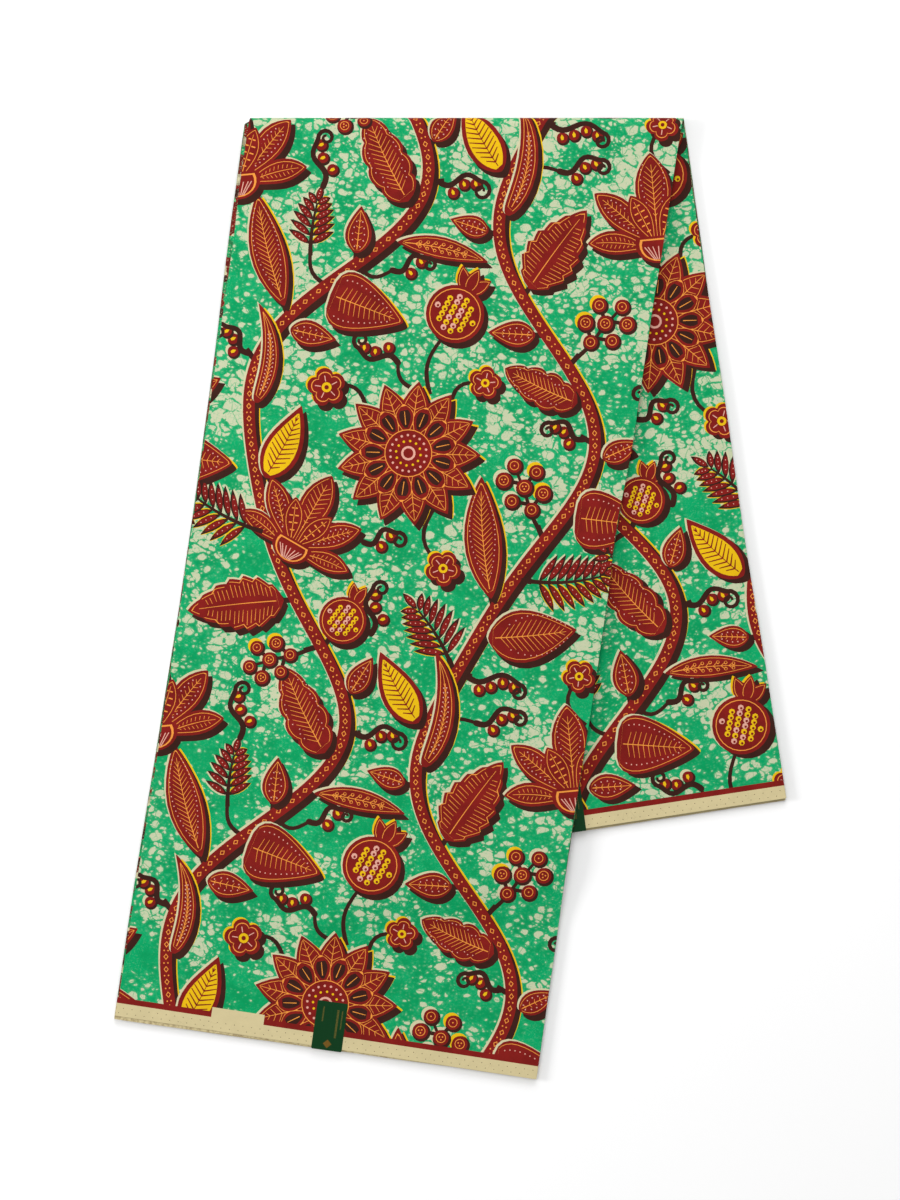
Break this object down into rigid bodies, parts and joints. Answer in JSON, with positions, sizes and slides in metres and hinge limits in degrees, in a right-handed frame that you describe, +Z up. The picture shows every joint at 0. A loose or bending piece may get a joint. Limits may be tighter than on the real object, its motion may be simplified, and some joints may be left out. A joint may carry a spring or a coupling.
{
  "type": "folded length of printed wax cotton fabric",
  "caption": "Length of printed cotton cloth folded into a flat layered strip and folded over once, its two panels fanning out from one rounded fold.",
  "frame": {"origin": "middle of the footprint, on the surface that the cloth lies on", "axes": "+Y from the hems towards the crest of the fold, +Z up off the surface, +X to the right seen from above"},
  "size_m": [0.4834, 0.6926, 0.012],
  "materials": {
    "printed_cotton": "crisp plain-weave cotton with a wax-resist flower print in deep red, brown, cream and yellow on green, slightly glazed",
    "printed_cotton_edges": "folded edges and hems of the same printed cotton, leaf on leaf",
    "label_paper": "dark green coated paper label with plain dull gold bars and a diamond, without words"
  },
  "bodies": {
    "root": {"front_panel": "printed_cotton", "back_panel": "printed_cotton", "hidden_layers": "printed_cotton_edges", "label_front": "label_paper", "label_back": "label_paper"}
  },
  "joints": []
}
